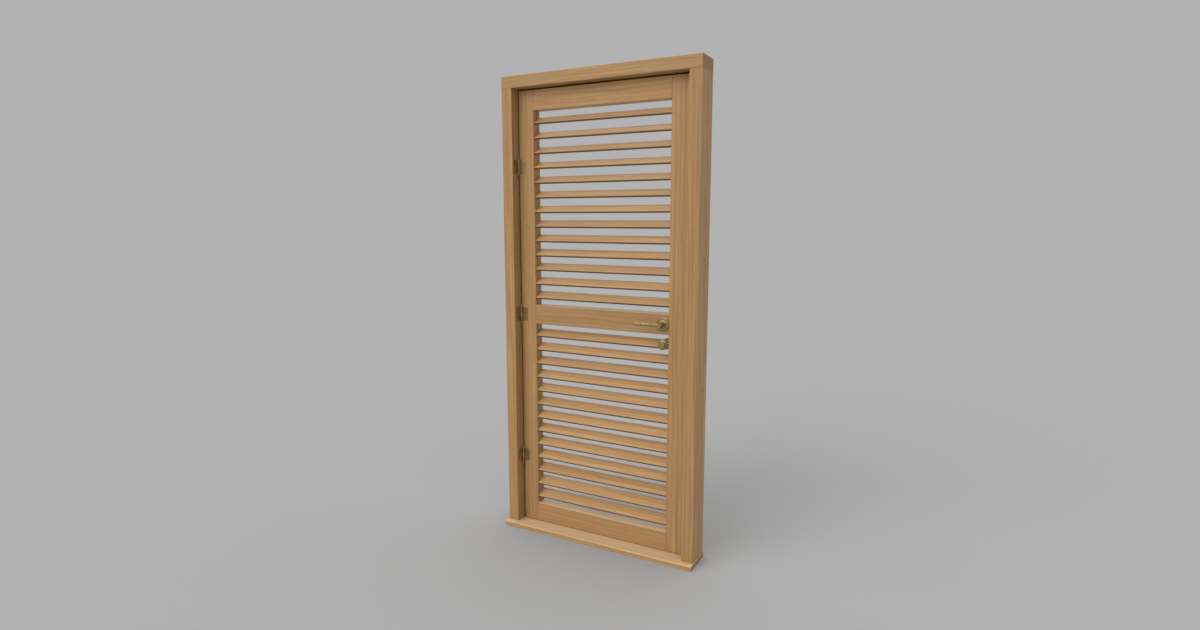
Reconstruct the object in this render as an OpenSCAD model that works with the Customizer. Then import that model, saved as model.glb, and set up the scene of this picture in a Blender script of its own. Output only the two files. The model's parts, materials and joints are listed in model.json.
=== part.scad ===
// Louvred door hung in its frame with planted stops, with butt hinges, lever latch and keyed bolt.
// X runs across the doorway, Y into the wall from the frame's front face, Z up from the
// underside of the sill. The leaf is hung on the left and opens towards -Y.

/* [Frame] */
// Overall width of the frame across both jambs
frame_w = 968; // [820:1:1100]
// Overall height from the sill's underside to the top of the head
frame_h = 2150; // [2050:1:2300]
// Depth of the frame through the wall
frame_d = 128; // [120:1:160]
// Width of the front face of the jambs and of the head
frame_face = 54; // [48:1:70]
// How far the stop covers the edge of the closed leaf
stop_overlap = 8; // [6:1:14]
// Space between the closed leaf and the stop
stop_gap = 1; // [0.5:0.5:3]
// Length of the tenon on top of each jamb
jamb_tenon = 30; // [20:1:40]
// Diameter of the holes that fix the frame to the wall
fixing_d = 10; // [8:1:12]
// Distance from the ends of a jamb to its outer fixing holes
fixing_inset = 200; // [150:10:300]

/* [Sill] */
// Thickness of the sill board
sill_t = 22; // [18:1:32]
// How far the sill stands out in front of the frame
sill_nose = 28; // [20:1:50]
// How far the sill runs past the outer face of each jamb
sill_horn = 3; // [2:1:20]
// Radius of the rounded front edge of the sill
nose_r = 5; // [3:1:8]
// Depth of the jamb's tenon in the sill
sill_tenon = 12; // [8:1:14]

/* [Leaf] */
// Distance from the frame's front face back to the leaf
leaf_setback = 50; // [44:1:56]
// Thickness of the leaf
leaf_t = 52; // [50:1:54]
// Gap between the leaf and each jamb
side_gap = 6; // [4:0.5:8]
// Gap between the leaf and the head
top_gap = 8; // [4:0.5:10]
// Gap between the leaf and the sill
sill_gap = 3; // [2:0.5:8]
// Width of the stile on the hinge side
hinge_stile_w = 80; // [76:1:95]
// Width of the stile that holds the lock cases
lock_stile_w = 88; // [80:1:95]
// Height of the three rails
rail_h = 90; // [84:1:110]
// Length of the tenons on the rails
rail_tenon = 50; // [35:1:60]
// Width taken off the sharp edges of the timber
arris_c = 1.2; // [0.6:0.2:2]

/* [Louvres] */
// Number of slats in each of the two openings
slat_count = 13; // [9:1:13]
// Thickness of a slat
slat_t = 9; // [7:0.5:10]
// Slope of the slats from the front edge up to the back
slat_angle = 32; // [24:1:36]
// How far the slat's edges stay inside the faces of the leaf
slat_inset = 0.5; // [0.2:0.1:2]
// Distance from the rail to the middle of the slat beside it
slat_margin = 46; // [42:1:60]
// Length of the stub tenon at each end of a slat
slat_tenon = 10; // [6:1:14]
// Width left each side of the slat's stub tenon
slat_shoulder = 8; // [5:1:12]

/* [Hinges] */
// Height of the hinge plates
hinge_h = 60; // [50:1:76]
// Width of a hinge plate from the pin
hinge_w = 33; // [28:1:36]
// Thickness of the hinge plates
hinge_t = 2; // [1.5:0.5:2.5]
// Outside diameter of the hinge knuckles
barrel_d = 10; // [9:0.5:11]
// Diameter of the hinge pins
pin_d = 5; // [4:0.5:6]
// Height of the turned finial at each end of a pin
finial_h = 17; // [12:1:24]
// Distance from the top of the leaf to the middle of the upper hinge
upper_hinge_drop = 342; // [200:1:420]
// Distance from the bottom of the leaf to the middle of the lower hinge
lower_hinge_rise = 330; // [200:1:420]

/* [Lever set] */
// Distance from the leaf's lock edge to the spindle
backset = 114; // [112:1:120]
// Length of the lever from the spindle to its tip
lever_len = 117; // [100:1:130]
// How far the lever stands in front of the leaf
lever_proud = 48; // [44:1:60]
// Height of the lever bar where it leaves the neck
bar_h = 16; // [12:1:18]
// Thickness of the lever bar
bar_t = 11; // [9:1:13]
// Size of the lever's tip as a share of its root
tip_share = 0.7; // [0.5:0.05:1]
// Diameter of the lever's neck in the rose
neck_d = 18; // [16:1:20]
// Diameter of the roses
rose_d = 59; // [52:1:64]
// Thickness of the roses
rose_t = 8; // [6:1:10]
// Side of the square spindle
spindle_s = 8; // [7:1:9]

/* [Lock] */
// Diameter of the keyhole escutcheons
escutcheon_d = 44; // [40:1:56]
// Thickness of the keyhole escutcheons
escutcheon_t = 5; // [4:1:8]
// Diameter of the collar that guards the key plug
collar_d = 31; // [28:1:34]
// How far the collar stands out of the escutcheon
collar_t = 9; // [4:1:12]
// Outside diameter of the tubular lock cases
case_d = 22; // [20:1:22]
// Diameter of the latch bolt and of the dead bolt
bolt_d = 12; // [11:0.5:13]
// Travel of the latch bolt
latch_throw = 12; // [10:1:14]
// Travel of the dead bolt
dead_throw = 20; // [14:1:24]
// Diameter of the key plug
plug_d = 11; // [10:0.5:12]
// Height of the lock cases' face plates
faceplate_h = 56; // [52:1:64]
// Height of the strike plates
strike_h = 70; // [60:1:84]
// Thickness of the face plates and strike plates
plate_t = 2.5; // [2:0.5:4]

/* [Hidden] */
$fn = 48;
HINGES = ["upper", "middle", "lower"];

// Clearances shared by pieces that fit together
joint_fit = 0.1;
run_fit = 0.06;
swing_fit = 0.4;
knuckle_fit = 0.3;

// Colours of the oiled timber and of the aged brass
frame_wood = "#a57f58";
leaf_wood = "#a98259";
slat_wood = "#b4926e";
brass = "#80704c";
steel = "#8d8a83";

// Main planes of the frame and of the leaf
outer_x = frame_w / 2;
reveal_x = outer_x - frame_face;
head_z = frame_h - frame_face;
leaf_x = reveal_x - side_gap;
leaf_z0 = sill_t + sill_gap;
leaf_z1 = head_z - top_gap;
leaf_y0 = leaf_setback;
leaf_y1 = leaf_setback + leaf_t;
leaf_ym = (leaf_y0 + leaf_y1) / 2;
stop_y = leaf_y1 + stop_gap;
stop_x = leaf_x - stop_overlap;
stop_z = leaf_z1 - stop_overlap;
inner_x0 = -leaf_x + hinge_stile_w;
inner_x1 = leaf_x - lock_stile_w;
inner_xm = (inner_x0 + inner_x1) / 2;

// Tenons of the frame and of the leaf
jamb_mid_x = (reveal_x + outer_x) / 2;
tenon_root = 5;
jamb_tenon_t = frame_face / 3;
jamb_tenon_w = leaf_setback;
jamb_tenon_y = (frame_d - jamb_tenon_w) / 2;
rail_tenon_t = leaf_t / 3;
rail_shoulder = rail_h / 6;

// Fixing holes run through the jambs in front of the stops, where the closed leaf's edge hides them
fixing_y = leaf_ym;
fixing_z0 = sill_t + fixing_inset;
fixing_z1 = head_z - fixing_inset;
fixing_zs = [for (k = [0:3]) fixing_z0 + k * (fixing_z1 - fixing_z0) / 3];

// Slats
opening_h = (leaf_z1 - leaf_z0 - 3 * rail_h) / 2;
lock_rail_z = leaf_z0 + rail_h + opening_h;
lock_z = lock_rail_z + rail_h / 2;
slat_w = (leaf_t - 2 * slat_inset - slat_t * sin(slat_angle)) / cos(slat_angle);
slat_len = inner_x1 - inner_x0;
slat_pitch = (opening_h - 2 * slat_margin) / (slat_count - 1);
upper_slat_zs = [for (i = [1:slat_count]) leaf_z1 - rail_h - slat_margin - (i - 1) * slat_pitch];
lower_slat_zs = [for (i = [1:slat_count]) lock_rail_z - slat_margin - (i - 1) * slat_pitch];
slat_zs = concat(upper_slat_zs, lower_slat_zs);

// Hinges
hinge_zs = [leaf_z1 - upper_hinge_drop, lock_z, leaf_z0 + lower_hinge_rise];
barrel_r = barrel_d / 2;
pin_x = -reveal_x + barrel_r + swing_fit;
pin_y = leaf_y0 - barrel_r - swing_fit;
knuckles = 5;
knuckle_h = hinge_h / knuckles;

// Countersunk screws, as [height, distance from the pin] on a hinge plate
screw_r = 2;
screw_head_r = 3.8;
screw_head_h = 1.8;
screw_len = 18;
slot_w = 0.9;
hinge_screws = [[-hinge_h / 3, hinge_w * 0.5], [0, hinge_w * 0.75], [hinge_h / 3, hinge_w * 0.5]];

// Lock centres: the keyed bolt runs through the end of the first slat below the lock rail
spindle_x = leaf_x - backset;
dead_z = lower_slat_zs[0];
case_r = case_d / 2;
bolt_r = bolt_d / 2;
plug_r = plug_d / 2;
collar_r = collar_d / 2;
follower_r = spindle_s * 0.88;
spindle_hole_r = follower_r + 1;
case_flat = case_r - 2;
case_end = case_r + 2;
slat_clear = 1;
faceplate_w = case_d + 2;
strike_clear = 1.5;
pocket_clear = 4;
bolt_end_gap = 1;
faceplate_screw_z = (faceplate_h + case_d) / 4;
strike_screw_z = (strike_h / 2 + bolt_r + strike_clear) / 2;

// Long screws that draw each pair of roses and escutcheons together
tie_r = 1.5;
tie_head_r = 2.4;
tie_bite = 3.5;
tie_wall = 0.7;
escutcheon_tie = plug_r + tie_wall + tie_head_r;
spigot_r = escutcheon_tie + tie_r + tie_wall;
rose_rim_r = rose_d * 0.46;
rose_step_r = rose_d * 0.31;
rose_tie = (rose_rim_r + rose_step_r) / 2;

// Lever
neck_r = neck_d / 2;
neck_sides = 8;
neck_cap = 1;
neck_collar = 1.2;
neck_corner_r = neck_r + neck_collar;
neck_flat = neck_corner_r * cos(180 / neck_sides);
socket_depth = lever_proud * 0.6;
grub_r = 2.5;
grub_y = leaf_y0 - rose_t - 8;

// Outline with each of its outer corners cut off by c
function arris(points, c) = [
    for (i = [0:len(points) - 1])
        let (
            before = points[(i + len(points) - 1) % len(points)],
            here = points[i],
            after = points[(i + 1) % len(points)],
            to_before = (before - here) / norm(before - here),
            to_after = (after - here) / norm(after - here),
            is_outer = cross(here - before, after - here) > 0
        )
        each is_outer ? [here + c * to_before, here + c * to_after] : [here]
];

// Corners of a rectangle, counter-clockwise
function rectangle(u0, u1, v0, v1) = [[u0, v0], [u1, v0], [u1, v1], [u0, v1]];

// Points of an arc in the plane
function arc(u, v, r, a0, a1, steps) = [
    for (k = [0:steps])
        let (a = a0 + k * (a1 - a0) / steps)
        [u + r * cos(a), v + r * sin(a)]
];

// Box between two corners
module block(low, high) {
    translate(low)
        cube(high - low);
}

// Round bar along X
module bar_x(x0, x1, y, z, r) {
    translate([x0, y, z])
        rotate([0, 90, 0])
            cylinder(h = x1 - x0, r = r);
}

// Round bar along Y
module bar_y(x, z, y0, y1, r) {
    translate([x, y0, z])
        rotate([-90, 0, 0])
            cylinder(h = y1 - y0, r = r);
}

// Post of the given outline in X and Y
module post(points, z0, z1) {
    translate([0, 0, z0])
        linear_extrude(z1 - z0)
            polygon(points);
}

// Crosspiece of the given outline in Y and Z
module crosspiece(points, x0, x1) {
    translate([x0, 0, 0])
        rotate([90, 0, 90])
            linear_extrude(x1 - x0)
                polygon(points);
}

// Turned piece on an axis that points out of the leaf's front face
module turned_on_front(x, z) {
    translate([x, leaf_y0, z])
        rotate([90, 0, 0])
            rotate_extrude()
                children();
}

// The same piece on the other face of the leaf
module on_rear() {
    translate([0, 2 * leaf_ym, 0])
        mirror([0, 1, 0])
            children();
}

// Round pin along -Z with a countersunk head whose top is at the origin
module countersunk(len, r, head_r) {
    rotate_extrude()
        polygon([[0, -len], [r, -len], [r, -screw_head_h], [head_r, 0], [0, 0]]);
}

// Countersunk slotted screw, its head's top at the origin and its shank along -Z
module screw(fit = 0) {
    difference() {
        countersunk(screw_len + fit, screw_r + fit, screw_head_r + fit);
        if (fit == 0)
            translate([0, 0, -slot_w / 2])
                cube([2 * screw_head_r, slot_w, slot_w], center = true);
    }
}

// Screws of the hinge plates on the jamb and of the strike plates
module frame_screw_set(fit = 0) {
    for (z = hinge_zs, s = hinge_screws)
        translate([-reveal_x + hinge_t, pin_y - s[1], z + s[0]])
            rotate([0, 90, 0])
                screw(fit);
    for (z = [lock_z, dead_z], side = [-1, 1])
        translate([reveal_x, leaf_ym, z + side * strike_screw_z])
            rotate([0, -90, 0])
                screw(fit);
}

// Screws of the hinge plates on the leaf and of the face plates
module leaf_screw_set(fit = 0) {
    for (z = hinge_zs, s = hinge_screws)
        translate([pin_x + s[1], leaf_y0 - hinge_t, z + s[0]])
            rotate([90, 0, 0])
                screw(fit);
    for (z = [lock_z, dead_z], side = [-1, 1])
        translate([leaf_x, leaf_ym, z + side * faceplate_screw_z])
            rotate([0, 90, 0])
                screw(fit);
}

// Tenons at both ends of a jamb on the +X side
module jamb_tenons(fit = 0) {
    block(
        [jamb_mid_x - jamb_tenon_t / 2 - fit, jamb_tenon_y - fit, sill_t - sill_tenon - fit],
        [jamb_mid_x + jamb_tenon_t / 2 + fit, jamb_tenon_y + jamb_tenon_w + fit, sill_t + tenon_root]
    );
    block(
        [jamb_mid_x - jamb_tenon_t / 2 - fit, jamb_tenon_y - fit, head_z - tenon_root],
        [jamb_mid_x + jamb_tenon_t / 2 + fit, jamb_tenon_y + jamb_tenon_w + fit, head_z + jamb_tenon + fit]
    );
}

// Jamb on the +X side, with its tenons and fixing holes
module jamb() {
    difference() {
        union() {
            post(arris(rectangle(reveal_x, outer_x, 0, frame_d), arris_c), sill_t, head_z);
            jamb_tenons();
        }
        for (z = fixing_zs)
            bar_x(reveal_x - 1, outer_x + 1, fixing_y, z, fixing_d / 2);
    }
}

module hinge_jamb() {
    color(frame_wood)
        difference() {
            mirror([1, 0, 0])
                jamb();
            frame_screw_set(joint_fit);
        }
}

// Recess for a strike plate and the pocket behind it
module strike_recess(z, throw) {
    reach = throw - side_gap + pocket_clear;
    hole = bolt_r + strike_clear;
    strike_body(z, joint_fit);
    block([reveal_x - 1, leaf_ym - hole, z - hole], [reveal_x + reach, leaf_ym + hole, z + hole]);
}

module strike_jamb() {
    color(frame_wood)
        difference() {
            jamb();
            strike_recess(lock_z, latch_throw);
            strike_recess(dead_z, dead_throw);
            frame_screw_set(joint_fit);
        }
}

module head() {
    color(frame_wood)
        difference() {
            crosspiece(arris(rectangle(0, frame_d, head_z, frame_h), arris_c), -outer_x, outer_x);
            jamb_tenons(joint_fit);
            mirror([1, 0, 0])
                jamb_tenons(joint_fit);
        }
}

// Laths planted on the jambs and under the head, for the closed leaf to rest against
module door_stops() {
    color(frame_wood) {
        for (side = [0, 1])
            mirror([side, 0, 0])
                post(arris(rectangle(stop_x, reveal_x, stop_y, frame_d), arris_c), sill_t, head_z);
        crosspiece(
            arris(rectangle(stop_y, frame_d, stop_z, head_z), arris_c),
            joint_fit - stop_x, stop_x - joint_fit
        );
    }
}

// Sill with a rounded nose and a drip groove under it
module sill() {
    groove = nose_r / 2;
    groove_y = -sill_nose + 2 * nose_r;
    outline = concat(
        [[-sill_nose, 0], [groove_y, 0], [groove_y, groove], [groove_y + groove, groove]],
        [[groove_y + groove, 0], [frame_d, 0], [frame_d, sill_t]],
        arc(-sill_nose + nose_r, sill_t - nose_r, nose_r, 90, 180, 6)
    );
    half = outer_x + sill_horn;
    color(frame_wood)
        difference() {
            crosspiece(outline, -half, half);
            jamb_tenons(joint_fit);
            mirror([1, 0, 0])
                jamb_tenons(joint_fit);
        }
}

// Strike plate body without its holes
module strike_body(z, fit = 0) {
    half_w = faceplate_w / 2 + fit;
    half_h = strike_h / 2 + fit;
    block(
        [reveal_x - fit, leaf_ym - half_w, z - half_h],
        [reveal_x + plate_t + fit, leaf_ym + half_w, z + half_h]
    );
}

module strike(z) {
    hole = bolt_r + strike_clear;
    color(brass)
        difference() {
            strike_body(z);
            block(
                [reveal_x - 1, leaf_ym - hole, z - hole],
                [reveal_x + plate_t + 1, leaf_ym + hole, z + hole]
            );
            frame_screw_set(joint_fit);
        }
}

module strike_plates() {
    strike(lock_z);
    strike(dead_z);
}

module frame_screws() {
    color(brass)
        frame_screw_set();
}

// Knuckles of one hinge plate, every second one counted from first
module hinge_knuckles(z, first, bore_r) {
    for (k = [first:2:knuckles - 1])
        translate([pin_x, pin_y, z - hinge_h / 2 + k * knuckle_h + knuckle_fit / 2])
            difference() {
                cylinder(h = knuckle_h - knuckle_fit, r = barrel_r);
                translate([0, 0, -1])
                    cylinder(h = knuckle_h + 2, r = bore_r);
            }
}

// Room that a hinge plate leaves for the other plate's knuckles
module knuckle_room(z, first) {
    reach = barrel_r + swing_fit;
    for (k = [first:2:knuckles - 1])
        translate([pin_x - reach, pin_y - reach, z - hinge_h / 2 + k * knuckle_h - knuckle_fit / 2])
            cube([2 * reach, 2 * reach + 1, knuckle_h + knuckle_fit]);
}

// Space round the pin, cleared from a plate before its own knuckles are added
module pin_room(z, bore_r) {
    translate([pin_x, pin_y, z - hinge_h])
        cylinder(h = 2 * hinge_h, r = bore_r);
}

module hinge_frame_plate(z) {
    bore_r = pin_d / 2;
    color(brass)
        union() {
            difference() {
                block(
                    [-reveal_x, pin_y - hinge_w, z - hinge_h / 2],
                    [-reveal_x + hinge_t, pin_y, z + hinge_h / 2]
                );
                knuckle_room(z, 1);
                pin_room(z, bore_r);
                frame_screw_set(joint_fit);
            }
            hinge_knuckles(z, 0, bore_r);
        }
}

module hinge_door_plate(z) {
    bore_r = pin_d / 2 + run_fit;
    color(brass)
        union() {
            difference() {
                block(
                    [pin_x, leaf_y0 - hinge_t, z - hinge_h / 2],
                    [pin_x + hinge_w, leaf_y0, z + hinge_h / 2]
                );
                knuckle_room(z, 0);
                pin_room(z, bore_r);
                leaf_screw_set(joint_fit);
            }
            hinge_knuckles(z, 1, bore_r);
        }
}

// Pin with a turned finial at each end
module hinge_pin() {
    half = hinge_h / 2;
    ball_r = barrel_r * 0.8;
    neck = barrel_r * 0.55;
    ball_z = half + finial_h - ball_r;
    crown_a = 80;
    finial = concat(
        [[0, 0], [pin_d / 2, 0], [pin_d / 2, half], [barrel_r, half], [barrel_r, half + finial_h * 0.2]],
        [[neck, half + finial_h * 0.3]],
        arc(0, ball_z, ball_r, -acos(neck / ball_r), crown_a, 8),
        [[0, ball_z + ball_r]]
    );
    for (up = [0, 1])
        mirror([0, 0, up])
            rotate_extrude()
                polygon(finial);
}

module hinge_pins() {
    color(brass)
        for (z = hinge_zs)
            translate([pin_x, pin_y, z])
                hinge_pin();
}

// Tenons at both ends of a rail, or the mortises for them
module rail_tenons(z, fit = 0) {
    reach = rail_tenon + fit;
    half_t = rail_tenon_t / 2 + fit;
    block(
        [inner_x0 - reach, leaf_ym - half_t, z + rail_shoulder - fit],
        [inner_x1 + reach, leaf_ym + half_t, z + rail_h - rail_shoulder + fit]
    );
}

// Rail between the stiles
module rail(z) {
    crosspiece(arris(rectangle(leaf_y0, leaf_y1, z, z + rail_h), arris_c), inner_x0, inner_x1);
    rail_tenons(z);
}

module top_rail() {
    color(leaf_wood)
        rail(leaf_z1 - rail_h);
}

module bottom_rail() {
    color(leaf_wood)
        rail(leaf_z0);
}

// Bore for a lock case, from the lock edge of the leaf
module case_bore(z) {
    bar_x(spindle_x - case_end - joint_fit, leaf_x + 1, leaf_ym, z, case_r + joint_fit);
}

module lock_rail() {
    color(leaf_wood)
        difference() {
            rail(lock_rail_z);
            case_bore(lock_z);
            bar_y(spindle_x, lock_z, leaf_y0 - 1, leaf_y1 + 1, spindle_hole_r);
            rose_ties(joint_fit);
        }
}

// Stub tenons of a slat, or the mortises for them
module slat_tenons(z, fit = 0) {
    size = [slat_len + 2 * (slat_tenon + fit), slat_w - 2 * (slat_shoulder - fit), slat_t + 2 * fit];
    translate([inner_xm, leaf_ym, z])
        rotate([slat_angle, 0, 0])
            cube(size, center = true);
}

// Sloping slat, low at the front and high at the back
module slat(z) {
    outline = rectangle(-slat_w / 2, slat_w / 2, -slat_t / 2, slat_t / 2);
    color(slat_wood) {
        translate([inner_xm, leaf_ym, z])
            rotate([slat_angle, 0, 0])
                crosspiece(arris(outline, arris_c), -slat_len / 2, slat_len / 2);
        slat_tenons(z);
    }
}

module upper_slat(i) {
    slat(upper_slat_zs[i - 1]);
}

// The first lower slat is bored for the bolt case and for the spigots of the escutcheons
module lower_slat(i) {
    difference() {
        slat(lower_slat_zs[i - 1]);
        if (i == 1) {
            case_bore(dead_z);
            bar_y(spindle_x, dead_z, leaf_y0 - 1, leaf_y1 + 1, spigot_r + slat_clear);
        }
    }
}

// Stile between two edges with the mortises for the rails and the slats
module stile(x0, x1) {
    difference() {
        post(arris(rectangle(x0, x1, leaf_y0, leaf_y1), arris_c), leaf_z0, leaf_z1);
        for (z = slat_zs)
            slat_tenons(z, joint_fit);
        for (z = [leaf_z0, lock_rail_z, leaf_z1 - rail_h])
            rail_tenons(z, joint_fit);
    }
}

module hinge_stile() {
    color(leaf_wood)
        difference() {
            stile(-leaf_x, inner_x0);
            leaf_screw_set(joint_fit);
        }
}

module lock_stile() {
    color(leaf_wood)
        difference() {
            stile(inner_x1, leaf_x);
            for (z = [lock_z, dead_z]) {
                case_bore(z);
                faceplate(z, joint_fit);
            }
            leaf_screw_set(joint_fit);
        }
}

module leaf_screws() {
    color(brass) {
        leaf_screw_set();
        rose_ties();
        escutcheon_ties();
    }
}

// Face plate let into the lock edge of the leaf
module faceplate(z, fit = 0) {
    half_w = faceplate_w / 2 + fit;
    half_h = faceplate_h / 2 + fit;
    block(
        [leaf_x - plate_t - fit, leaf_ym - half_w, z - half_h],
        [leaf_x + fit, leaf_ym + half_w, z + half_h]
    );
}

// Tubular case with its face plate, flats at the cross hole and a bore for the bolt
module tubular_case(z, cross_r) {
    difference() {
        union() {
            bar_x(spindle_x - case_end, leaf_x - plate_t / 2, leaf_ym, z, case_r);
            faceplate(z);
        }
        for (side = [-1, 1])
            translate([spindle_x, leaf_ym + side * (case_flat + case_r / 2), z])
                cube([2 * case_end + 2, case_r, case_d + 2], center = true);
        bar_y(spindle_x, z, leaf_y0, leaf_y1, cross_r + run_fit);
        bar_x(spindle_x, leaf_x + 1, leaf_ym, z, bolt_r + run_fit);
        leaf_screw_set(joint_fit);
    }
}

module latch_case() {
    color(steel)
        tubular_case(lock_z, follower_r);
}

module deadbolt_case() {
    color(steel)
        difference() {
            tubular_case(dead_z, plug_r);
            escutcheon_ties(joint_fit);
        }
}

// Long countersunk screw along Y, from the rear piece's face into the front piece
module tie_screw(x, z, cover_t, fit = 0) {
    len = leaf_t + cover_t + tie_bite + fit;
    translate([x, leaf_y1 + cover_t, z])
        rotate([-90, 0, 0])
            countersunk(len, tie_r + fit, tie_head_r + fit);
}

module rose_ties(fit = 0) {
    for (side = [-1, 1])
        tie_screw(spindle_x, lock_z + side * rose_tie, rose_t / 2, fit);
}

module escutcheon_ties(fit = 0) {
    for (side = [-1, 1])
        tie_screw(spindle_x, dead_z + side * escutcheon_tie, escutcheon_t + collar_t, fit);
}

// Stepped rose that the lever's neck turns in
module rose() {
    r = rose_d / 2;
    bore_r = neck_r + run_fit;
    edge = rose_t / 4;
    turned_on_front(spindle_x, lock_z)
        polygon(concat(
            [[bore_r, 0], [r, 0], [r, edge], [rose_rim_r, 2 * edge]],
            [[rose_step_r, 2 * edge], [rose_step_r - edge / 2, 3 * edge]],
            [[rose_step_r - 2 * edge, rose_t], [bore_r, rose_t]]
        ));
}

module front_rose() {
    color(brass)
        difference() {
            rose();
            rose_ties(joint_fit);
        }
}

module rear_rose() {
    color(brass)
        difference() {
            on_rear()
                rose();
            rose_ties(joint_fit);
        }
}

// Round escutcheon with a collar, and a spigot that seats on the flat of the lock case
module escutcheon() {
    r = escutcheon_d / 2;
    edge = escutcheon_t * 0.7;
    bore_r = plug_r + run_fit;
    seat = case_flat - leaf_t / 2;
    top = escutcheon_t + collar_t;
    turned_on_front(spindle_x, dead_z)
        polygon(concat(
            [[bore_r, seat], [spigot_r, seat], [spigot_r, 0], [r, 0]],
            arc(r - edge, escutcheon_t - edge, edge, 0, 90, 4),
            [[collar_r, escutcheon_t], [collar_r - arris_c, top - arris_c], [collar_r - 2 * arris_c, top]],
            [[bore_r, top]]
        ));
}

module front_escutcheon() {
    color(brass)
        difference() {
            escutcheon();
            escutcheon_ties(joint_fit);
        }
}

module rear_escutcheon() {
    color(brass)
        difference() {
            on_rear()
                escutcheon();
            escutcheon_ties(joint_fit);
        }
}

// Lever with a round journal, an eight-sided neck and a tapering bar
module lever() {
    bar_ym = leaf_y0 - lever_proud + neck_cap + bar_t / 2;
    tip_x = spindle_x - lever_len;
    difference() {
        union() {
            bar_y(spindle_x, lock_z, leaf_y0 - rose_t - 1, leaf_y0 - 1, neck_r);
            translate([spindle_x, leaf_y0 - rose_t - 1, lock_z])
                rotate([90, 180 / neck_sides, 0])
                    cylinder(h = lever_proud - rose_t - 1, r = neck_corner_r, $fn = neck_sides);
            hull() {
                lever_section(spindle_x, bar_ym, 1);
                lever_section(tip_x, bar_ym, tip_share);
            }
        }
        spindle_bar();
        grub_screw();
    }
}

// Thin eight-sided slice of the lever bar at x
module lever_section(x, y, share) {
    h = bar_h / 2 * share;
    t = bar_t / 2 * share;
    slice = 0.5;
    cut = t * 0.5;
    crosspiece(arris(rectangle(y - t, y + t, lock_z - h, lock_z + h), cut), x, x + slice);
}

// Square spindle through both levers and the follower
module spindle_bar() {
    half = spindle_s / 2;
    reach = socket_depth;
    block(
        [spindle_x - half, leaf_y0 - reach, lock_z - half],
        [spindle_x + half, leaf_y1 + reach, lock_z + half]
    );
}

// Grub screw under the front lever's neck
module grub_screw() {
    half = spindle_s / 2;
    translate([spindle_x, grub_y, lock_z - neck_flat])
        cylinder(h = neck_flat - half, r = grub_r);
}

module front_lever() {
    color(brass)
        lever();
}

module rear_lever() {
    color(brass)
        on_rear()
            lever();
}

module spindle() {
    color(steel)
        spindle_bar();
}

module lever_grub_screws() {
    color(steel) {
        grub_screw();
        on_rear()
            grub_screw();
    }
}

// Follower in the latch case, turned by the spindle
module latch_follower() {
    color(steel)
        difference() {
            bar_y(spindle_x, lock_z, leaf_ym - case_flat, leaf_ym + case_flat, follower_r);
            spindle_bar();
        }
}

// Latch bolt, its tip bevelled on the side that meets the strike as the leaf closes
module latch_bolt() {
    tail_x = spindle_x + follower_r + latch_throw + bolt_end_gap;
    tip_x = leaf_x + latch_throw;
    bevel_x = latch_throw - bolt_end_gap;
    bevel_y = bolt_d * 0.75;
    color(brass)
        difference() {
            bar_x(tail_x, tip_x, leaf_ym, lock_z, bolt_r);
            translate([tip_x - bevel_x, leaf_ym + bolt_r, lock_z - bolt_d])
                rotate([0, 0, -atan(bevel_y / bevel_x)])
                    cube([3 * latch_throw, bolt_d, 2 * bolt_d]);
        }
}

module key_plug() {
    slot_depth = escutcheon_t + collar_t;
    slot_half = plug_r * 0.2;
    low = dead_z - plug_r * 0.7;
    high = dead_z + plug_r * 0.7;
    front = leaf_y0 - escutcheon_t - collar_t;
    rear = leaf_y1 + escutcheon_t + collar_t;
    color(brass)
        difference() {
            bar_y(spindle_x, dead_z, front, rear, plug_r);
            block(
                [spindle_x - slot_half, front - 1, low],
                [spindle_x + slot_half, front + slot_depth, high]
            );
            block(
                [spindle_x - slot_half, rear - slot_depth, low],
                [spindle_x + slot_half, rear + 1, high]
            );
        }
}

module dead_bolt() {
    color(brass)
        bar_x(spindle_x + plug_r + bolt_end_gap, leaf_x, leaf_ym, dead_z, bolt_r);
}

sill();
hinge_jamb();
strike_jamb();
head();
door_stops();
for (k = [0:2]) {
    hinge_frame_plate(hinge_zs[k]);
    hinge_door_plate(hinge_zs[k]);
}
hinge_pins();
frame_screws();
strike_plates();
hinge_stile();
lock_stile();
top_rail();
lock_rail();
bottom_rail();
for (i = [1:slat_count]) {
    upper_slat(i);
    lower_slat(i);
}
leaf_screws();
latch_case();
deadbolt_case();
front_rose();
rear_rose();
front_escutcheon();
rear_escutcheon();
front_lever();
rear_lever();
spindle();
latch_follower();
lever_grub_screws();
latch_bolt();
key_plug();
dead_bolt();
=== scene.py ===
import json
import logging
import math
from abc import ABC, abstractmethod
from dataclasses import dataclass
from enum import Enum
from typing import Any, ClassVar, Optional

import bmesh
import bpy
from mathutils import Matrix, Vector


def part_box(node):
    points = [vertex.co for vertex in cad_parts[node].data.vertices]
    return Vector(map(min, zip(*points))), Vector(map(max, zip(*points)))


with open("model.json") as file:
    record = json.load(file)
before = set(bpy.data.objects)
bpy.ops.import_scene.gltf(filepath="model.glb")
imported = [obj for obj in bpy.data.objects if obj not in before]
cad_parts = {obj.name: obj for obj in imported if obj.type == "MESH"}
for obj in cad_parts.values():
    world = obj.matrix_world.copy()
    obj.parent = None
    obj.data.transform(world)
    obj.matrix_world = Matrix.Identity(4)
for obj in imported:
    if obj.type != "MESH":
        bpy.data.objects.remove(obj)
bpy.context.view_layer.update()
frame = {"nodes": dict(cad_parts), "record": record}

LOG = logging.getLogger("louvred_door")
MM = 0.001
# Numbers of the axes of the part's frame.
WIDTH, DEPTH, UP = range(3)
# Properties that a board carries for its timber: its number, and how much lighter than usual it is.
NUMBER = "board"
TONE = "tone"

Colour = tuple[float, float, float, float]
Material = bpy.types.Material
Node = bpy.types.Node
Socket = bpy.types.NodeSocket
Tree = bpy.types.NodeTree


class Grain(Enum):
    """Axis that the fibres of a board run along."""

    ACROSS = WIDTH
    UPRIGHT = UP


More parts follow.
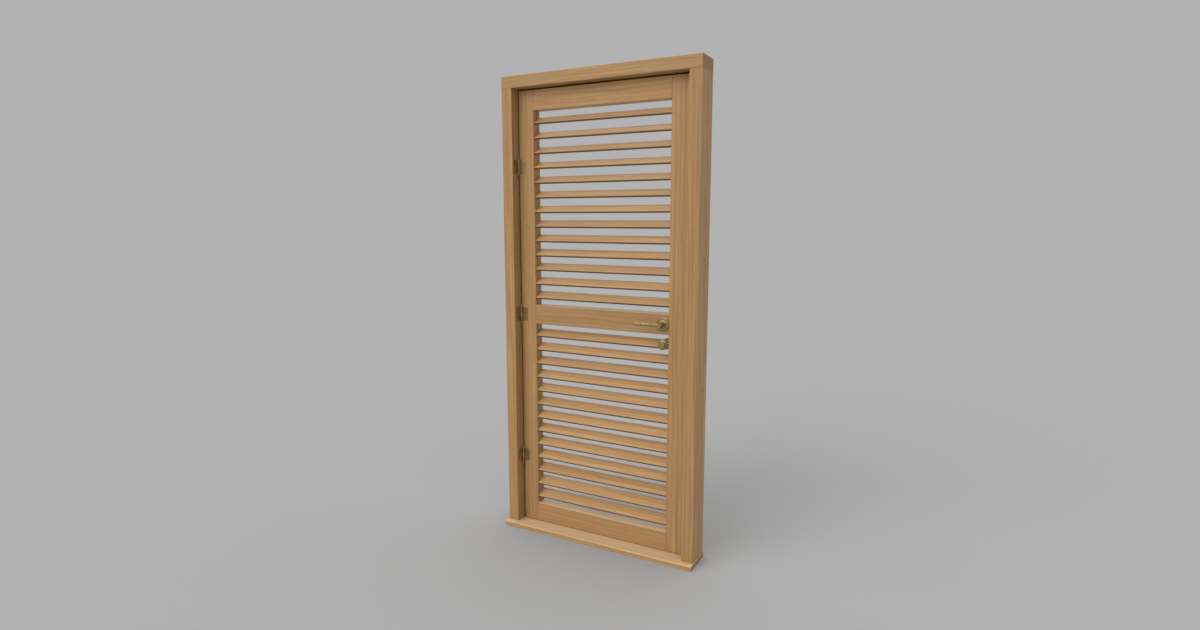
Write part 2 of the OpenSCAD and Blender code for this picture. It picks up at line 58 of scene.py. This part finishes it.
def linear(hex_colour: str) -> Colour:
    """Turns an sRGB hex colour into linear RGBA.

    Args:
        hex_colour: colour such as "#a57f58".

    Returns:
        The four linear components, with an alpha of 1.
    """
    parts = [int(hex_colour[i:i + 2], 16) / 255 for i in (1, 3, 5)]
    red, green, blue = [c / 12.92 if c <= 0.04045 else ((c + 0.055) / 1.055) ** 2.4 for c in parts]
    return (red, green, blue, 1.0)


def add_node(
    tree: Tree,
    kind: str,
    inputs: Optional[dict[Any, Any]] = None,
    stops: tuple[tuple[float, str], ...] = (),
    **settings: Any,
) -> Node:
    """Adds one node with its settings, its values and its links.

    Args:
        tree: node tree that gets the node.
        kind: Blender's name of the node type.
        inputs: value or output socket for each input, by name or number.
        stops: position and hex colour of each stop, where the node is a colour ramp.
        settings: properties of the node.

    Returns:
        The new node.
    """
    node = tree.nodes.new(kind)
    for name, value in settings.items():
        setattr(node, name, value)
    for name, value in (inputs or {}).items():
        if isinstance(value, Socket):
            tree.links.new(value, node.inputs[name])
        else:
            node.inputs[name].default_value = value
    if stops:
        elements = node.color_ramp.elements
        while len(elements) < len(stops):
            elements.new(1.0)
        for element, (place, colour) in zip(elements, stops):
            element.position = place
            element.color = linear(colour)
    return node


def new_material(name: str) -> tuple[Material, Tree]:
    """Makes an empty node material.

    Args:
        name: the material's name.

    Returns:
        The material and its node tree.
    """
    material = bpy.data.materials.new(name)
    material.use_nodes = True
    material.node_tree.nodes.clear()
    return material, material.node_tree


def dress_node(piece: bpy.types.Object, material: Material) -> None:
    """Puts one material on all of a piece."""
    piece.data.materials.clear()
    piece.data.materials.append(material)


def names_with(slot: str) -> list[str]:
    """Lists the nodes that the record gives a material slot, in the record's order."""
    return [part["node"] for part in frame["record"]["subparts"] if part["material_slot"] == slot]


@dataclass(frozen=True)
class WornEdge:
    """Edge that is softly rounded for the light, and rubbed or weathered to a paler colour."""

    colour: str
    radius_mm: float
    reach: float
    share: float
    samples: ClassVar[int] = 6

    def over(self, tree: Tree, colour: Socket) -> tuple[Socket, Socket]:
        """Wears the edges of a surface: full wear is where the rounding turns the normal by the reach.

        Args:
            tree: node tree that gets the nodes.
            colour: colour of the flat faces.

        Returns:
            The colour with worn edges, and the rounded normal.
        """
        rounded = add_node(
            tree, "ShaderNodeBevel", {"Radius": self.radius_mm * MM}, samples=self.samples,
        )
        flat = add_node(tree, "ShaderNodeNewGeometry")
        cosine = add_node(
            tree, "ShaderNodeVectorMath",
            {0: rounded.outputs["Normal"], 1: flat.outputs["True Normal"]}, operation="DOT_PRODUCT",
        )
        wear = add_node(
            tree, "ShaderNodeMapRange",
            {"Value": cosine.outputs["Value"], "From Min": 1.0, "From Max": 1.0 - self.reach,
             "To Max": self.share},
        )
        mixed = add_node(
            tree, "ShaderNodeMix",
            {"Factor": wear.outputs["Result"], "A": colour, "B": linear(self.colour)}, data_type="RGBA",
        )
        return mixed.outputs["Result"], rounded.outputs["Normal"]


@dataclass(frozen=True)
class FaceTint:
    """Colour on the faces that look one way, such as painted shade below, painted light on top and the
    darker end grain.

    The unit normal is measured along the axis: the tint starts at none_at and is full at full_at,
    which are below 0 for the faces that look against the axis.
    """

    colour: str
    share: float
    axis: int
    none_at: float
    full_at: float

    def over(self, tree: Tree, colour: Socket) -> Socket:
        """Lays the tint over a colour.

        Args:
            tree: node tree that gets the nodes.
            colour: colour of the other faces.

        Returns:
            The colour with its tinted faces.
        """
        coords = add_node(tree, "ShaderNodeTexCoord")
        parts = add_node(tree, "ShaderNodeSeparateXYZ", {"Vector": coords.outputs["Normal"]})
        facing = add_node(
            tree, "ShaderNodeMapRange",
            {"Value": parts.outputs[self.axis], "From Min": self.none_at, "From Max": self.full_at,
             "To Max": self.share},
        )
        mixed = add_node(
            tree, "ShaderNodeMix",
            {"Factor": facing.outputs["Result"], "A": colour, "B": linear(self.colour)},
            data_type="RGBA",
        )
        return mixed.outputs["Result"]


@dataclass(frozen=True)
class Streaks:
    """Noise in streaks along the fibres, which are stretch times as long as they are wide."""

    width_mm: float
    stretch: float
    octaves: float
    roughness: ClassVar[float] = 0.55

    def draw(self, tree: Tree, place: Socket, grain: Grain) -> Socket:
        """Draws the streaks.

        Args:
            tree: node tree that gets the nodes.
            place: position of the point in the trunk.
            grain: axis of the fibres.

        Returns:
            The noise from 0 to 1.
        """
        scale = [1.0 / (self.width_mm * MM)] * 3
        scale[grain.value] /= self.stretch
        squeezed = add_node(tree, "ShaderNodeVectorMath", {0: place, 1: scale}, operation="MULTIPLY")
        noise = add_node(
            tree, "ShaderNodeTexNoise",
            {"Vector": squeezed.outputs["Vector"], "Scale": 1.0, "Detail": self.octaves,
             "Roughness": self.roughness},
        )
        return noise.outputs["Fac"]


@dataclass(frozen=True)
class DarkStreaks(Streaks):
    """Streaks that darken the wood, from none where their noise is dark_from to their share at dark_at."""

    dark_from: float
    dark_at: float
    share: float

    def over(self, tree: Tree, colour: Socket, noise: Socket, dark: str) -> Socket:
        """Darkens a colour along the streaks.

        Args:
            tree: node tree that gets the nodes.
            colour: colour of the wood.
            noise: the streaks as they were drawn.
            dark: hex colour of the streaks.

        Returns:
            The colour with dark streaks.
        """
        depth = add_node(
            tree, "ShaderNodeMapRange",
            {"Value": noise, "From Min": self.dark_from, "From Max": self.dark_at, "To Max": self.share},
        )
        mixed = add_node(
            tree, "ShaderNodeMix",
            {"Factor": depth.outputs["Result"], "A": colour, "B": linear(dark)}, data_type="RGBA",
        )
        return mixed.outputs["Result"]


@dataclass(frozen=True)
class OiledHardwood:
    """Planed and oiled hardwood: a warm satin brown with growth bands, long fibres and dark pores.

    Its edges are worn paler, and its end grain has drunk more oil and is darker. The bands are drawn
    about twice as coarse as the real 5 mm, and the pores about three times as coarse as the real
    0.3 mm, so that they show in the render.
    """

    name: str
    grain: Grain
    # Colours of the wood as it ripens, and the ripeness at which each of them is pure.
    early: str = "#b9935f"
    ripe: str = "#ab8658"
    warm: str = "#a77e52"
    late: str = "#946c42"
    pure_at: tuple[float, float, float, float] = (0.15, 0.4, 0.58, 0.9)
    # Ripeness of the palest wood, and what the growth bands and the broad figure add to it.
    least_ripeness: float = -0.1
    band_ripeness: float = 0.3
    figure_ripeness: float = 0.9
    figure: Streaks = Streaks(width_mm=16.0, stretch=40.0, octaves=3.0)
    # Rings round the pith: their width, how far they wander, and how little they change along the trunk.
    band_mm: float = 9.0
    wander: Streaks = Streaks(width_mm=38.0, stretch=12.0, octaves=3.0)
    wander_bands: float = 4.5
    along_share: float = 0.04
    pith: tuple[float, float, float] = (0.31, 0.095, 0.17)
    # Way through the trunk from one board to the next.
    board_step: tuple[float, float, float] = (0.37, 0.23, 0.41)
    # Fine marks, which also give the surface its relief and its gloss.
    dark: str = "#7f5e38"
    fibres: DarkStreaks = DarkStreaks(
        width_mm=2.4, stretch=70.0, octaves=4.0, dark_from=0.45, dark_at=0.8, share=0.5,
    )
    pores: DarkStreaks = DarkStreaks(
        width_mm=0.9, stretch=18.0, octaves=2.0, dark_from=0.58, dark_at=0.7, share=0.65,
    )
    relief_mm: float = 0.4
    relief_strength: float = 0.35
    smoothest: float = 0.42
    roughest: float = 0.6
    specular: float = 0.35
    # What use and weather have done to it, and the tints that paint light or shade on the faces that look
    # one way.
    edge: WornEdge = WornEdge("#c4a276", radius_mm=1.5, reach=0.35, share=0.4)
    tints: tuple[FaceTint, ...] = ()
    end_grain: str = "#75532f"
    end_share: float = 0.5
    end_from: float = 0.6
    end_full: float = 0.9

    def material(self) -> Material:
        """Builds the node material of this timber.

        Returns:
            The finished material.
        """
        material, tree = new_material(self.name)
        place = self._board_place(tree)
        fibres = self.fibres.draw(tree, place, self.grain)
        pores = self.pores.draw(tree, place, self.grain)
        colour = self._sawn(tree, place)
        colour = self.fibres.over(tree, colour, fibres, self.dark)
        colour = self.pores.over(tree, colour, pores, self.dark)
        colour, rounded = self.edge.over(tree, colour)
        for tint in self.tints + self._end_tints():
            colour = tint.over(tree, colour)
        gloss = add_node(
            tree, "ShaderNodeMapRange",
            {"Value": fibres, "To Min": self.smoothest, "To Max": self.roughest},
        )
        height = add_node(tree, "ShaderNodeMath", {0: fibres, 1: pores}, operation="ADD")
        relief = add_node(
            tree, "ShaderNodeBump",
            {"Strength": self.relief_strength, "Distance": self.relief_mm * MM,
             "Height": height.outputs["Value"], "Normal": rounded},
        )
        shader = add_node(
            tree, "ShaderNodeBsdfPrincipled",
            {"Base Color": self._toned(tree, colour), "Roughness": gloss.outputs["Result"],
             "Specular IOR Level": self.specular, "Normal": relief.outputs["Normal"]},
        )
        add_node(tree, "ShaderNodeOutputMaterial", {"Surface": shader.outputs["BSDF"]})
        return material

    def _along_fibres(self, tree: Tree, start: Socket) -> Socket:
        """Leaves a position as it is, because the fibres of one board all run the same way."""
        return start

    def _board_place(self, tree: Tree) -> Socket:
        """Places each board in its own part of the trunk, by the number that the board carries.

        Args:
            tree: node tree that gets the nodes.

        Returns:
            The position of the point in the trunk.
        """
        coords = add_node(tree, "ShaderNodeTexCoord")
        start = self._along_fibres(tree, coords.outputs["Object"])
        board = add_node(tree, "ShaderNodeAttribute", attribute_name=NUMBER, attribute_type="OBJECT")
        step = add_node(
            tree, "ShaderNodeVectorMath",
            {0: self.board_step, "Scale": board.outputs["Fac"]}, operation="SCALE",
        )
        place = add_node(
            tree, "ShaderNodeVectorMath",
            {0: start, 1: step.outputs["Vector"]}, operation="ADD",
        )
        return place.outputs["Vector"]

    def _bands(self, tree: Tree, place: Socket) -> Socket:
        """Draws the growth bands as rings round the pith, bent by the way that the trunk wandered.

        Args:
            tree: node tree that gets the nodes.
            place: position of the point in the trunk.

        Returns:
            A wave from 0, early wood, to 1, late wood.
        """
        shares = [1.0, 1.0, 1.0]
        shares[self.grain.value] = self.along_share
        section = add_node(tree, "ShaderNodeVectorMath", {0: place, 1: shares}, operation="MULTIPLY")
        from_pith = add_node(
            tree, "ShaderNodeVectorMath", {0: section.outputs["Vector"], 1: self.pith}, operation="ADD",
        )
        radius = add_node(
            tree, "ShaderNodeVectorMath", {0: from_pith.outputs["Vector"]}, operation="LENGTH",
        )
        count = add_node(
            tree, "ShaderNodeMath",
            {0: radius.outputs["Value"], 1: 1.0 / (self.band_mm * MM)}, operation="MULTIPLY",
        )
        wander = self.wander.draw(tree, place, self.grain)
        bent = add_node(
            tree, "ShaderNodeMath",
            {0: wander, 1: self.wander_bands, 2: count.outputs["Value"]}, operation="MULTIPLY_ADD",
        )
        wave = add_node(tree, "ShaderNodeMath", {0: bent.outputs["Value"], 1: 1.0}, operation="PINGPONG")
        return wave.outputs["Value"]

    def _sawn(self, tree: Tree, place: Socket) -> Socket:
        """Colours the freshly sawn wood by how ripe its bands and its figure make it.

        Args:
            tree: node tree that gets the nodes.
            place: position of the point in the trunk.

        Returns:
            The colour from early to late wood.
        """
        bands = add_node(
            tree, "ShaderNodeMath",
            {0: self._bands(tree, place), 1: self.band_ripeness, 2: self.least_ripeness},
            operation="MULTIPLY_ADD",
        )
        figure = self.figure.draw(tree, place, self.grain)
        ripeness = add_node(
            tree, "ShaderNodeMath",
            {0: figure, 1: self.figure_ripeness, 2: bands.outputs["Value"]}, operation="MULTIPLY_ADD",
        )
        colours = (self.early, self.ripe, self.warm, self.late)
        wood = add_node(
            tree, "ShaderNodeValToRGB", {"Fac": ripeness.outputs["Value"]},
            stops=tuple(zip(self.pure_at, colours)),
        )
        return wood.outputs["Color"]

    def _end_tints(self) -> tuple[FaceTint, ...]:
        """Makes the tints of the two ends of a board, where its fibres are cut across.

        Returns:
            One tint for each end.
        """
        return tuple(
            FaceTint(
                self.end_grain, self.end_share, self.grain.value,
                none_at=way * self.end_from, full_at=way * self.end_full,
            )
            for way in (-1.0, 1.0)
        )

    def _toned(self, tree: Tree, colour: Socket) -> Socket:
        """Makes each board lighter or darker by the tone that it carries, as sawn boards differ.

        Args:
            tree: node tree that gets the nodes.
            colour: colour of a board of middling tone.

        Returns:
            The colour of this board.
        """
        tone = add_node(tree, "ShaderNodeAttribute", attribute_name=TONE, attribute_type="OBJECT")
        value = add_node(tree, "ShaderNodeMath", {0: tone.outputs["Fac"], 1: 1.0}, operation="ADD")
        toned = add_node(
            tree, "ShaderNodeHueSaturation", {"Value": value.outputs["Value"], "Color": colour},
        )
        return toned.outputs["Color"]


@dataclass(frozen=True)
class LathHardwood(OiledHardwood):
    """The same timber in the laths round the opening: upright at the sides, turned along the top."""

    node: str = "door_stops"
    lath_mm: float = 14.0
    hair_mm: float = 0.5

    def _along_fibres(self, tree: Tree, start: Socket) -> Socket:
        """Swaps X and Z between the side laths, so that the top lath's fibres run along it.

        Args:
            tree: node tree that gets the nodes.
            start: position of the point in its object.

        Returns:
            The position with the fibres along Z everywhere.
        """
        # A hair inside the opening, so that the faces of the side laths towards it stay upright.
        half_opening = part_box(self.node)[1].x - (self.lath_mm + self.hair_mm) * MM
        parts = add_node(tree, "ShaderNodeSeparateXYZ", {"Vector": start})
        turned = add_node(
            tree, "ShaderNodeCombineXYZ",
            {"X": parts.outputs["Z"], "Y": parts.outputs["Y"], "Z": parts.outputs["X"]},
        )
        between = add_node(
            tree, "ShaderNodeMath",
            {0: parts.outputs["X"], 1: 0.0, 2: half_opening}, operation="COMPARE",
        )
        place = add_node(
            tree, "ShaderNodeMix",
            {"Factor": between.outputs["Value"], "A": start, "B": turned.outputs["Vector"]},
            data_type="VECTOR",
        )
        return place.outputs["Result"]

    def _end_tints(self) -> tuple[FaceTint, ...]:
        """Leaves end grain out, because the laths' ends are hidden in the corners of the frame."""
        return ()


@dataclass(frozen=True)
class AgedMetal:
    """Brushed metal that has dulled: a blotchy patina, brighter where hands rub its edges.

    Painted shade darkens the faces that look down. The specks are drawn coarser than the real grit of the
    brushing, so that they still roughen the shine in the render.
    """

    name: str
    bright: str
    dull: str
    dark: str
    # Painted shade: its colour, its share, and the height of the normal at which it is full on faces that
    # look down.
    painted_shade: str
    painted_shade_share: float = 0.65
    painted_shade_full: float = -0.45
    blotch_mm: float = 20.0
    blotch_octaves: float = 5.0
    # Noise of the blotches at which the metal is darkest and roughest, and brightest and smoothest.
    dark_at: float = 0.3
    bright_at: float = 0.7
    roughest: float = 0.48
    smoothest: float = 0.28
    speck_mm: float = 0.8
    speck_octaves: float = 2.0
    relief_mm: float = 0.1
    relief_strength: float = 0.25
    edge_mm: float = 1.0
    edge_reach: float = 0.4
    edge_share: float = 0.7

    def material(self) -> Material:
        """Builds the node material of this metal.

        Returns:
            The finished material.
        """
        material, tree = new_material(self.name)
        place = add_node(tree, "ShaderNodeTexCoord").outputs["Object"]
        blotches = add_node(
            tree, "ShaderNodeTexNoise",
            {"Vector": place, "Scale": 1.0 / (self.blotch_mm * MM), "Detail": self.blotch_octaves},
        )
        specks = add_node(
            tree, "ShaderNodeTexNoise",
            {"Vector": place, "Scale": 1.0 / (self.speck_mm * MM), "Detail": self.speck_octaves},
        )
        dull_at = (self.dark_at + self.bright_at) / 2
        patina = add_node(
            tree, "ShaderNodeValToRGB", {"Fac": blotches.outputs["Fac"]},
            stops=((self.dark_at, self.dark), (dull_at, self.dull), (self.bright_at, self.bright)),
        )
        # Painted shade on the faces that look down, under the worn edges.
        painted_shade = FaceTint(self.painted_shade, self.painted_shade_share, UP, none_at=0.0, full_at=self.painted_shade_full)
        edge = WornEdge(self.bright, radius_mm=self.edge_mm, reach=self.edge_reach, share=self.edge_share)
        colour, rounded = edge.over(tree, painted_shade.over(tree, patina.outputs["Color"]))
        gloss = add_node(
            tree, "ShaderNodeMapRange",
            {"Value": blotches.outputs["Fac"], "From Min": self.dark_at, "From Max": self.bright_at,
             "To Min": self.roughest, "To Max": self.smoothest},
        )
        relief = add_node(
            tree, "ShaderNodeBump",
            {"Strength": self.relief_strength, "Distance": self.relief_mm * MM,
             "Height": specks.outputs["Fac"], "Normal": rounded},
        )
        shader = add_node(
            tree, "ShaderNodeBsdfPrincipled",
            {"Base Color": colour, "Metallic": 1.0, "Roughness": gloss.outputs["Result"],
             "Normal": relief.outputs["Normal"]},
        )
        add_node(tree, "ShaderNodeOutputMaterial", {"Surface": shader.outputs["BSDF"]})
        return material


class Timbers:
    """The timbers that the joinery is cut from, each built once and shared by its boards."""

    def __init__(self) -> None:
        """Builds the material of each timber."""
        # Jambs and stiles: straight brown grain that runs up.
        self.posts = OiledHardwood("oiled_hardwood_posts", Grain.UPRIGHT).material()
        # Rails, sill and head: the same grain lying, with painted light that makes the faces that look up
        # paler.
        painted_top_light = FaceTint("#d0b794", share=0.6, axis=UP, none_at=0.0, full_at=0.9)
        self.boards = OiledHardwood("oiled_hardwood_boards", Grain.ACROSS, tints=(painted_top_light,)).material()
        # Slats: paler stock, which also serves as painted light on their faces that slope up; painted shade
        # darkens their undersides and their front edges.
        painted_shade_colour = "#4d371d"
        # Painted shade on the faces that look down.
        shade = FaceTint(painted_shade_colour, share=0.7, axis=UP, none_at=0.0, full_at=-0.45)
        # Painted shade on the front edges, which face forward and down.
        front_edge_shade = FaceTint(painted_shade_colour, share=0.7, axis=DEPTH, none_at=-0.6, full_at=-0.8)
        self.slats = OiledHardwood(
            "oiled_hardwood_slats", Grain.ACROSS, early="#c5a16d", ripe="#b99565", warm="#b68c5e",
            late="#a57e4f", tints=(shade, front_edge_shade),
        ).material()
        # Door stops: slim laths of the same brown, sheltered by the leaf.
        self.laths = LathHardwood("oiled_hardwood_laths", Grain.UPRIGHT).material()


@dataclass
class Board:
    """One piece of timber, with the share by which it is lighter than a middling board."""

    node: str
    timber: Material
    tone: float = 0.0

    def dress(self, number: int) -> None:
        """Gives the piece its timber, its tone and its own place in the trunk.

        Args:
            number: the board's own number.
        """
        piece = frame["nodes"][self.node]
        piece[NUMBER] = float(number)
        piece[TONE] = self.tone
        dress_node(piece, self.timber)
        LOG.info("%s: board %d of %s", self.node, number, self.timber.name)


@dataclass
class Joinery(ABC):
    """An assembly of boards, numbered from first_board so that no two boards of the door share a number."""

    timbers: Timbers
    first_board: int

    @abstractmethod
    def boards(self) -> list[Board]:
        """Lists the boards of the assembly."""

    def dress(self) -> None:
        """Dresses every board."""
        for number, board in enumerate(self.boards(), self.first_board):
            board.dress(number)


@dataclass
class DoorFrame(Joinery):
    """Jambs, sill and head."""

    first_board: int = 1

    def boards(self) -> list[Board]:
        """Lists the boards of the frame.

        Returns:
            The jambs, the sill and the head, each with its tone.
        """
        return [
            Board("hinge_jamb", self.timbers.posts, tone=-0.04),
            Board("strike_jamb", self.timbers.posts, tone=-0.08),
            Board("sill", self.timbers.boards, tone=0.04),
            Board("head", self.timbers.boards, tone=-0.07),
        ]


@dataclass
class Leaf(Joinery):
    """Stiles and rails of the leaf."""

    first_board: int = 5

    def boards(self) -> list[Board]:
        """Lists the boards of the leaf.

        Returns:
            The stiles and the rails, each with its tone.
        """
        return [
            Board("hinge_stile", self.timbers.posts, tone=-0.01),
            Board("lock_stile", self.timbers.posts),
            Board("top_rail", self.timbers.boards, tone=0.1),
            Board("lock_rail", self.timbers.boards, tone=-0.08),
            Board("bottom_rail", self.timbers.boards, tone=0.04),
        ]


@dataclass
class Louvre(Joinery):
    """The sloping slats, whose tones swing from one slat to the next."""

    first_board: int = 10
    tone_swing: float = 0.05
    tone_step: float = 2.4

    def boards(self) -> list[Board]:
        """Lists the slats that the record names.

        Returns:
            The slats, each with its tone.
        """
        return [
            Board(name, self.timbers.slats, self.tone_swing * math.sin(self.tone_step * i))
            for i, name in enumerate(names_with("slat_timber"))
        ]


@dataclass
class DoorStops(Joinery):
    """The laths round the opening, which are one group and so one piece to dress."""

    first_board: int = 40

    def boards(self) -> list[Board]:
        """Lists the group of laths."""
        return [Board("door_stops", self.timbers.laths)]


@dataclass
class Fittings:
    """Metal pieces of one slot of the record, which share one finish."""

    slot: str
    finish: AgedMetal

    def dress(self) -> None:
        """Gives every fitting the metal's material."""
        material = self.finish.material()
        for name in names_with(self.slot):
            dress_node(frame["nodes"][name], material)
            LOG.info("%s: %s", name, material.name)


@dataclass
class Studio:
    """Pale floor, even soft light and the camera of the photograph."""

    floor_half: float = 60.0
    floor_drop_mm: float = 0.5
    floor_colour: str = "#9c9c9c"
    floor_bounce: str = "#c8c8c8"
    floor_roughness: float = 0.9
    backdrop: str = "#b2b2b2"
    # Strength of the dome round the horizon and overhead, and the height at which it starts to rise.
    ambient: float = 0.42
    zenith: float = 1.7
    dome_from: float = 0.3
    # Key light: how far round from the front and how high it stands, and how wide it looks.
    key_strength: float = 1.32
    key_turn_deg: float = -24.0
    key_height_deg: float = 34.0
    key_width_deg: float = 45.0
    # Camera as fitted to the photograph: turned to the left from straight ahead, and tilted down.
    eye: tuple[float, float, float] = (1.432, -2.624, 1.506)
    turn_deg: float = 28.14
    tilt_deg: float = 8.06
    focal_px: float = 677.4
    image_width_px: float = 1200.0

    def build(self) -> None:
        """Makes the floor, the world, the light and the camera."""
        self._floor()
        self._world()
        self._key_light()
        self._camera()

    def _floor(self) -> None:
        """Lays a wide floor of matt paper under the sill: an even pale grey that keeps a soft shadow."""
        mesh = bpy.data.meshes.new("studio_floor")
        sheet = bmesh.new()
        bmesh.ops.create_grid(sheet, x_segments=1, y_segments=1, size=self.floor_half)
        bmesh.ops.translate(sheet, verts=sheet.verts, vec=(0.0, 0.0, -self.floor_drop_mm * MM))
        sheet.to_mesh(mesh)
        sheet.free()
        floor = bpy.data.objects.new("studio_floor", mesh)
        bpy.context.scene.collection.objects.link(floor)
        material, tree = new_material("matt_studio_paper")
        paper = add_node(
            tree, "ShaderNodeMix",
            {"Factor": self._seen(tree), "A": linear(self.floor_bounce), "B": linear(self.floor_colour)},
            data_type="RGBA",
        )
        shader = add_node(
            tree, "ShaderNodeBsdfPrincipled",
            {"Base Color": paper.outputs["Result"], "Roughness": self.floor_roughness,
             "Specular IOR Level": 0.0},
        )
        add_node(tree, "ShaderNodeOutputMaterial", {"Surface": shader.outputs["BSDF"]})
        dress_node(floor, material)

    def _seen(self, tree: Tree) -> Socket:
        """Finds the rays that show a picture: straight to the eye, mirrored, or through glass.

        Args:
            tree: node tree that gets the nodes.

        Returns:
            1 for those rays, and 0 for the rays that only carry light.
        """
        rays = add_node(tree, "ShaderNodeLightPath")
        either = add_node(
            tree, "ShaderNodeMath",
            {0: rays.outputs["Is Camera Ray"], 1: rays.outputs["Is Glossy Ray"]}, operation="MAXIMUM",
        )
        seen = add_node(
            tree, "ShaderNodeMath",
            {0: either.outputs["Value"], 1: rays.outputs["Is Transmission Ray"]}, operation="MAXIMUM",
        )
        return seen.outputs["Value"]

    def _world(self) -> None:
        """Lights the object from a dome that is brighter overhead, and shows the eye a plain backdrop."""
        world = bpy.data.worlds.new("studio_air")
        bpy.context.scene.world = world
        world.use_nodes = True
        tree = world.node_tree
        tree.nodes.clear()
        coords = add_node(tree, "ShaderNodeTexCoord")
        parts = add_node(tree, "ShaderNodeSeparateXYZ", {"Vector": coords.outputs["Generated"]})
        height = add_node(
            tree, "ShaderNodeMapRange", {"Value": parts.outputs["Z"], "From Min": self.dome_from},
        )
        strength = add_node(
            tree, "ShaderNodeMapRange",
            {"Value": height.outputs["Result"], "To Min": self.ambient, "To Max": self.zenith},
        )
        light = add_node(
            tree, "ShaderNodeBackground",
            {"Color": linear("#ffffff"), "Strength": strength.outputs["Result"]},
        )
        sky = add_node(
            tree, "ShaderNodeMix",
            {"Factor": height.outputs["Result"], "A": linear(self.backdrop),
             "B": (self.zenith, self.zenith, self.zenith, 1.0)},
            data_type="RGBA",
        )
        shown = add_node(tree, "ShaderNodeBackground", {"Color": sky.outputs["Result"], "Strength": 1.0})
        both = add_node(
            tree, "ShaderNodeMixShader",
            {0: self._seen(tree), 1: light.outputs["Background"], 2: shown.outputs["Background"]},
        )
        add_node(tree, "ShaderNodeOutputWorld", {"Surface": both.outputs["Shader"]})

    def _key_light(self) -> None:
        """Adds one broad soft light from the front left, low enough to reach in between the slats."""
        lamp = bpy.data.lights.new("soft_key", "SUN")
        lamp.energy = self.key_strength
        lamp.angle = math.radians(self.key_width_deg)
        key = bpy.data.objects.new("soft_key", lamp)
        bpy.context.scene.collection.objects.link(key)
        turn = math.radians(self.key_turn_deg)
        height = math.radians(self.key_height_deg)
        level = math.cos(height)
        towards = Vector((math.sin(turn) * level, -math.cos(turn) * level, math.sin(height)))
        key.rotation_mode = "QUATERNION"
        key.rotation_quaternion = towards.to_track_quat("Z", "Y")

    def _camera(self) -> None:
        """Sets the camera at the photograph's place and angle."""
        data = bpy.data.cameras.new("camera")
        data.sensor_fit = "HORIZONTAL"
        data.lens = data.sensor_width * self.focal_px / self.image_width_px
        # Twice the floor's width, so that its far corners stay in sight.
        data.clip_end = 4 * self.floor_half
        camera = bpy.data.objects.new("camera", data)
        bpy.context.scene.collection.objects.link(camera)
        camera.location = self.eye
        camera.rotation_euler = (math.radians(90.0 - self.tilt_deg), 0.0, math.radians(self.turn_deg))
        bpy.context.scene.camera = camera


def main() -> None:
    """Dresses every assembly and builds the studio."""
    logging.basicConfig(level=logging.INFO, format="%(name)s %(message)s")
    bpy.context.scene.view_settings.view_transform = "Standard"
    timbers = Timbers()
    # The darkest colour given to each metal is painted shade on its faces that look down.
    # Brass that was lacquered once: golden where it is handled, olive brown elsewhere.
    brass = AgedMetal(
        "dulled_brass", bright="#c6af7f", dull="#ae9769", dark="#9a8359", painted_shade="#4a3a1d",
    )
    # Steel with a thin coat of zinc: a cool satin grey with a darker bloom.
    steel = AgedMetal(
        "zinc_plated_steel", bright="#b9b7b0", dull="#918f89", dark="#6c6a64", painted_shade="#45443f",
    )
    assemblies = [
        DoorFrame(timbers),
        Leaf(timbers),
        Louvre(timbers),
        DoorStops(timbers),
        Fittings("aged_brass", brass),
        Fittings("lock_steel", steel),
    ]
    for assembly in assemblies:
        assembly.dress()
    Studio().build()


if __name__ == "__main__":
    main()
